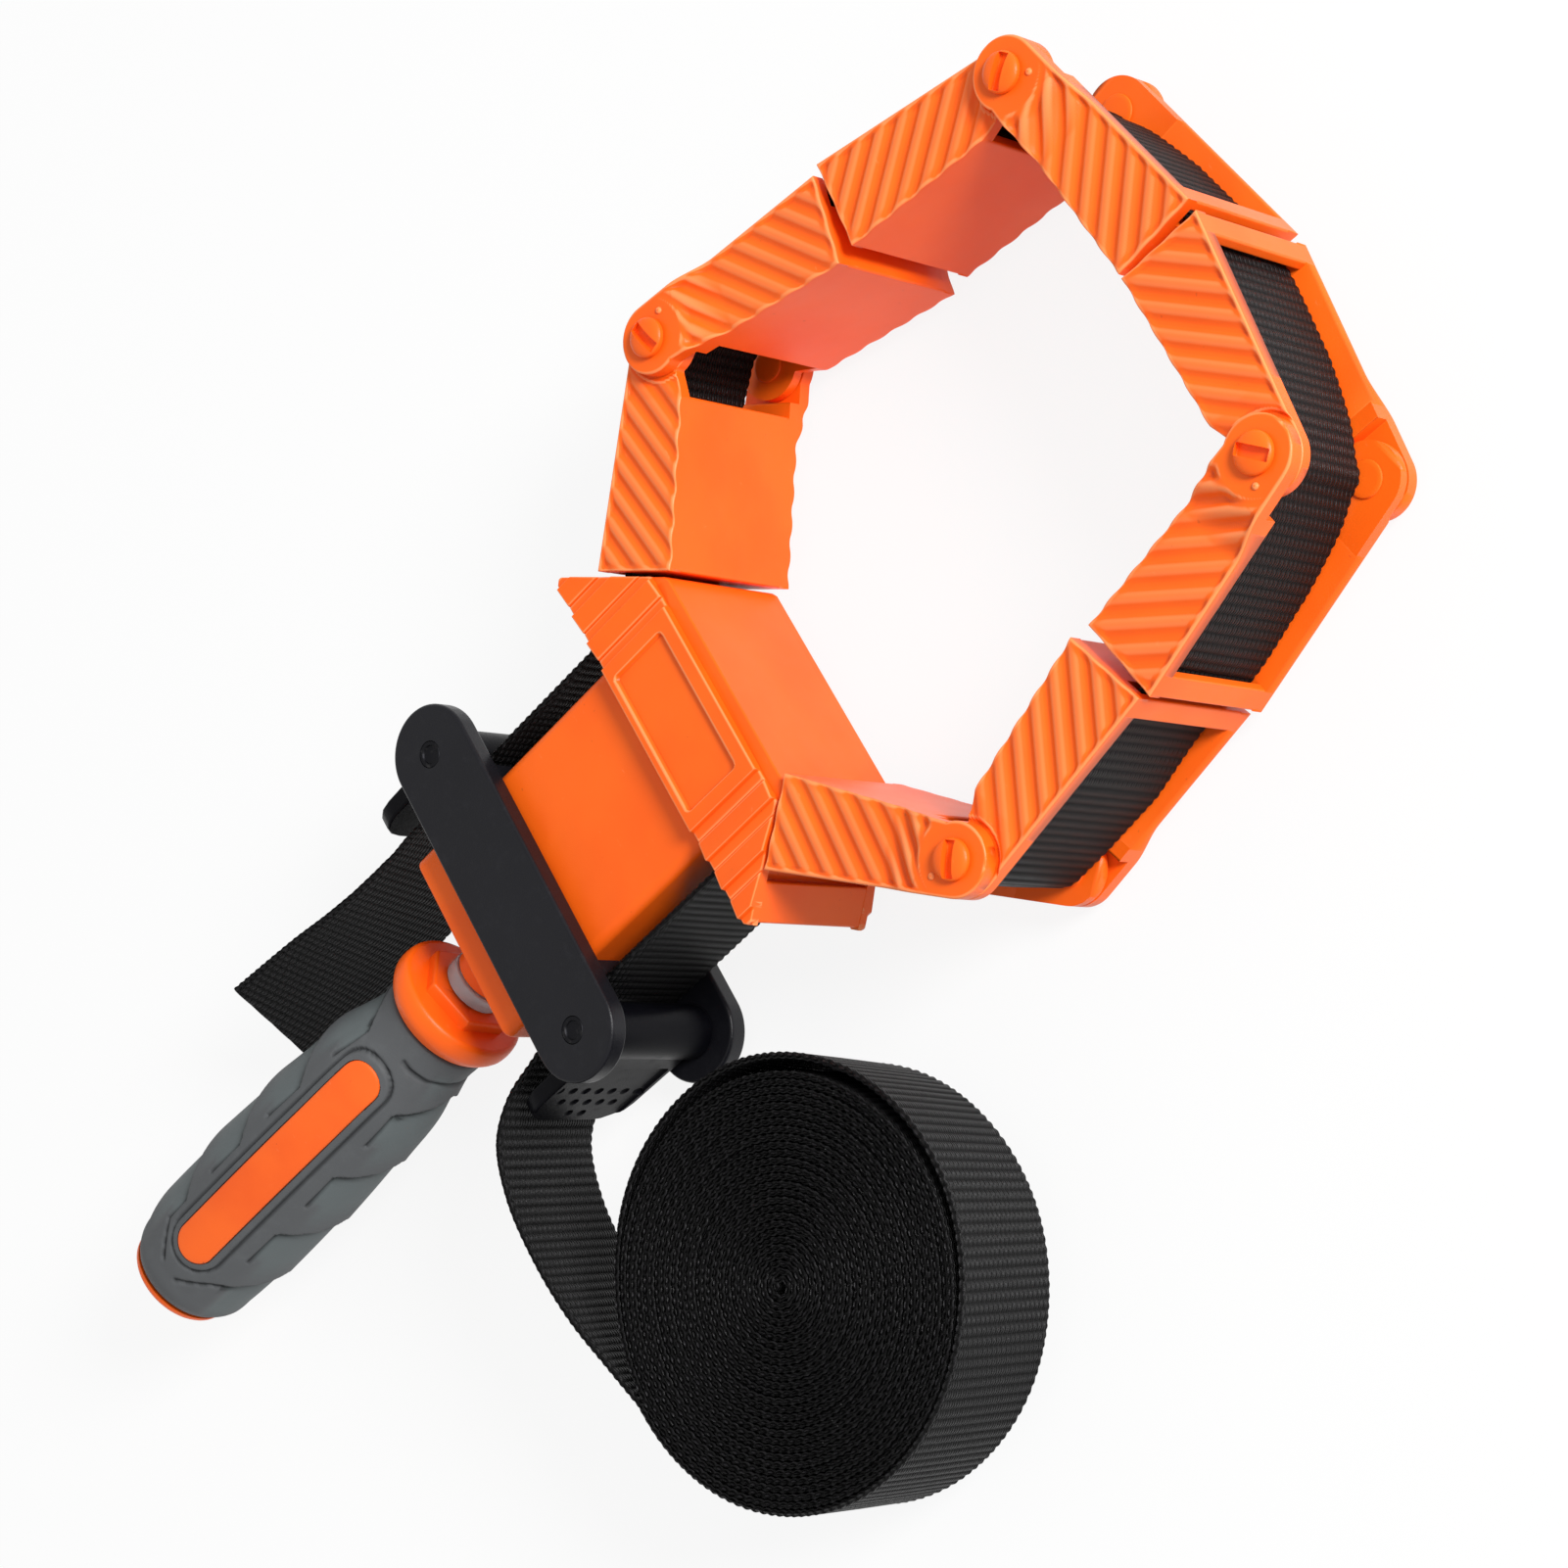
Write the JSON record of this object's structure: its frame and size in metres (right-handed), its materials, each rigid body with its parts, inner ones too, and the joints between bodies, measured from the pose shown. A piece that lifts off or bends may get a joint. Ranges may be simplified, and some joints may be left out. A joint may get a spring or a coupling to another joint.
{
  "type": "band clamp",
  "caption": "Webbing band clamp with hinged plastic jaw links, a pressure head, cam levers that hold the strap and a screw handle that tensions it; the spare webbing is rolled up.",
  "frame": {"origin": "centre of the head's flat pressing face, half way through the thickness", "axes": "+Y out of the pressing face into the ring of jaws, +Z out of the front side, +X to the side of the rolled webbing; the handle lies along -Y"},
  "size_m": [0.1886, 0.3005, 0.0414],
  "materials": {
    "orange_nylon": "satin moulded nylon, softly grained, bright orange",
    "black_nylon": "satin moulded nylon, black",
    "steel": "turned steel",
    "clear_plastic": "clear moulded washer",
    "grip_rubber": "matt grey overmoulded rubber with tread grooves",
    "webbing": "tightly woven black polyester webbing"
  },
  "bodies": {
    "head": {"pressure_head": "orange_nylon", "stem_housing": "orange_nylon", "strap_left_entry": "webbing", "strap_right_entry": "webbing"},
    "carriage": {"side_plate_front": "black_nylon", "side_plate_rear": "black_nylon", "anvil_left": "black_nylon", "anvil_right": "black_nylon", "cam_pin_left": "steel", "cam_pin_right": "steel", "cross_nut": "steel", "strap_left_run": "webbing", "strap_right_run": "webbing", "strap_tail": "webbing", "strap_feed": "webbing", "strap_roll": "webbing"},
    "handle": {"spindle": "steel", "spindle_clip": "steel", "thrust_washer": "clear_plastic", "handle_core": "orange_nylon", "grip_sleeve": "grip_rubber", "grip_inlay_front": "orange_nylon", "grip_inlay_rear": "orange_nylon", "end_cap": "orange_nylon"},
    "cam_lever_left": {"cam_lever_left": "black_nylon"},
    "cam_lever_right": {"cam_lever_right": "black_nylon"},
    "link_a1": {"link_a1": "orange_nylon"},
    "link_a2": {"link_a2": "orange_nylon", "hinge_pin_a_front": "orange_nylon", "hinge_pin_a_rear": "orange_nylon", "strap_bend_a": "webbing"},
    "link_b1": {"link_b1": "orange_nylon", "strap_join_ab": "webbing"},
    "link_b2": {"link_b2": "orange_nylon", "hinge_pin_b_front": "orange_nylon", "hinge_pin_b_rear": "orange_nylon", "strap_bend_b": "webbing", "strap_join_bc_left": "webbing"},
    "link_d2": {"link_d2": "orange_nylon"},
    "link_d1": {"link_d1": "orange_nylon", "hinge_pin_d_front": "orange_nylon", "hinge_pin_d_rear": "orange_nylon", "strap_bend_d": "webbing"},
    "link_c2": {"link_c2": "orange_nylon", "strap_join_cd": "webbing"},
    "link_c1": {"link_c1": "orange_nylon", "hinge_pin_c_front": "orange_nylon", "hinge_pin_c_rear": "orange_nylon", "strap_bend_c": "webbing", "strap_join_bc_right": "webbing"}
  },
  "joints": [
    {"name": "handle_turn", "type": "hinge", "parent": "head", "child": "handle", "pos_m": [0, -0.12, 0], "axis": [0, 1, 0], "range_deg": [-3596, 1076]},
    {"name": "carriage_slide", "type": "slide", "parent": "head", "child": "carriage", "axis": [0, 1, 0], "range_m": [-0.006, 0.02], "deforming": ["strap_left_run", "strap_right_run"]},
    {"name": "cam_left_swing", "type": "hinge", "parent": "carriage", "child": "cam_lever_left", "pos_m": [-0.0302, -0.0596, 0], "axis": [0, 0, -1], "range_deg": [0, 60]},
    {"name": "cam_right_swing", "type": "hinge", "parent": "carriage", "child": "cam_lever_right", "pos_m": [0.0302, -0.0596, 0], "axis": [0, 0, 1], "range_deg": [0, 60]},
    {"name": "rock_a", "type": "hinge", "parent": "head", "child": "link_a1", "pos_m": [-0.02998, -0.00861, 0], "axis": [0, 0, 1], "range_deg": [-2.63, 13.6], "deforming": ["strap_left_entry"]},
    {"name": "hinge_a", "type": "hinge", "parent": "link_a1", "child": "link_a2", "pos_m": [-0.05604, 0.02289, 0], "axis": [0, 0, 1], "range_deg": [-21, 4], "deforming": ["strap_bend_a"]},
    {"name": "flex_ab", "type": "hinge", "parent": "link_a2", "child": "link_b1", "pos_m": [-0.05327, 0.06423, 0], "axis": [0, 0, 1], "range_deg": [-1, 5.06], "deforming": ["strap_join_ab"]},
    {"name": "hinge_b", "type": "hinge", "parent": "link_b1", "child": "link_b2", "pos_m": [-0.04036, 0.10342, 0], "axis": [0, 0, 1], "range_deg": [-0.52, 2.49], "deforming": ["strap_bend_b", "strap_join_bc_left"]},
    {"name": "rock_d", "type": "hinge", "parent": "head", "child": "link_d2", "pos_m": [0.02998, -0.00861, 0], "axis": [0, 0, 1], "range_deg": [-13.6, 2.63], "deforming": ["strap_right_entry"]},
    {"name": "hinge_d", "type": "hinge", "parent": "link_d2", "child": "link_d1", "pos_m": [0.05604, 0.02289, 0], "axis": [0, 0, 1], "range_deg": [-4.05, 21.05], "deforming": ["strap_bend_d"]},
    {"name": "flex_cd", "type": "hinge", "parent": "link_d1", "child": "link_c2", "pos_m": [0.05327, 0.06423, 0], "axis": [0, 0, 1], "range_deg": [-5.06, 1], "deforming": ["strap_join_cd"]},
    {"name": "hinge_c", "type": "hinge", "parent": "link_c2", "child": "link_c1", "pos_m": [0.04036, 0.10342, 0], "axis": [0, 0, 1], "range_deg": [-2.49, 0.52], "deforming": ["strap_bend_c", "strap_join_bc_right"]}
  ],
  "couplings": [
    {"joint": "carriage_slide", "follows": "handle_turn", "m_per_rad": -0.00031831},
    {"joint": "rock_a", "follows": "hinge_a", "ratio": -0.64516},
    {"joint": "flex_ab", "follows": "hinge_a", "ratio": -0.23852},
    {"joint": "hinge_b", "follows": "hinge_a", "ratio": -0.11632},
    {"joint": "hinge_d", "follows": "hinge_a", "ratio": -1},
    {"joint": "rock_d", "follows": "hinge_a", "ratio": 0.64516},
    {"joint": "flex_cd", "follows": "hinge_a", "ratio": 0.23852},
    {"joint": "hinge_c", "follows": "hinge_a", "ratio": 0.11632}
  ]
}
